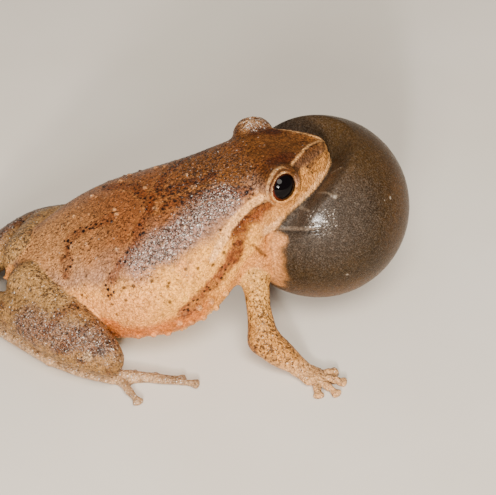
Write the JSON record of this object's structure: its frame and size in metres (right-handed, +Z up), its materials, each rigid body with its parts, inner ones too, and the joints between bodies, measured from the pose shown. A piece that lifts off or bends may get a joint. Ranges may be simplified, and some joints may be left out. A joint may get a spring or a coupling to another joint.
{
  "type": "chorus frog",
  "caption": "Small calling chorus frog at rest with its throat sac blown up like a ball, as a still life-size model.",
  "frame": {"origin": "centre of the bounding box at the floor the frog rests on", "axes": "+X the way the frog faces, +Y to its left, +Z up"},
  "size_m": [0.036, 0.0284, 0.0149],
  "materials": {
    "back": "moist, finely grained skin of the back and head",
    "belly_side": "pale moist skin of the lower jaw",
    "sac": "thin stretched skin, wet and shiny",
    "limb": "moist speckled skin of the legs and arms",
    "digit": "pale skin of the hands and feet",
    "eye": "wet clear surface over a dark eye"
  },
  "bodies": {
    "root": {"trunk": "back", "head": "back", "lower_jaw": "belly_side", "vocal_sac": "sac", "eye_r": "eye", "eye_l": "eye", "upper_arm_r": "limb", "forearm_r": "limb", "hand_r": "digit", "thigh_r": "limb", "shank_r": "limb", "tarsus_r": "limb", "foot_r": "digit", "upper_arm_l": "limb", "forearm_l": "limb", "hand_l": "digit", "thigh_l": "limb", "shank_l": "limb", "tarsus_l": "limb", "foot_l": "digit"}
  },
  "joints": []
}
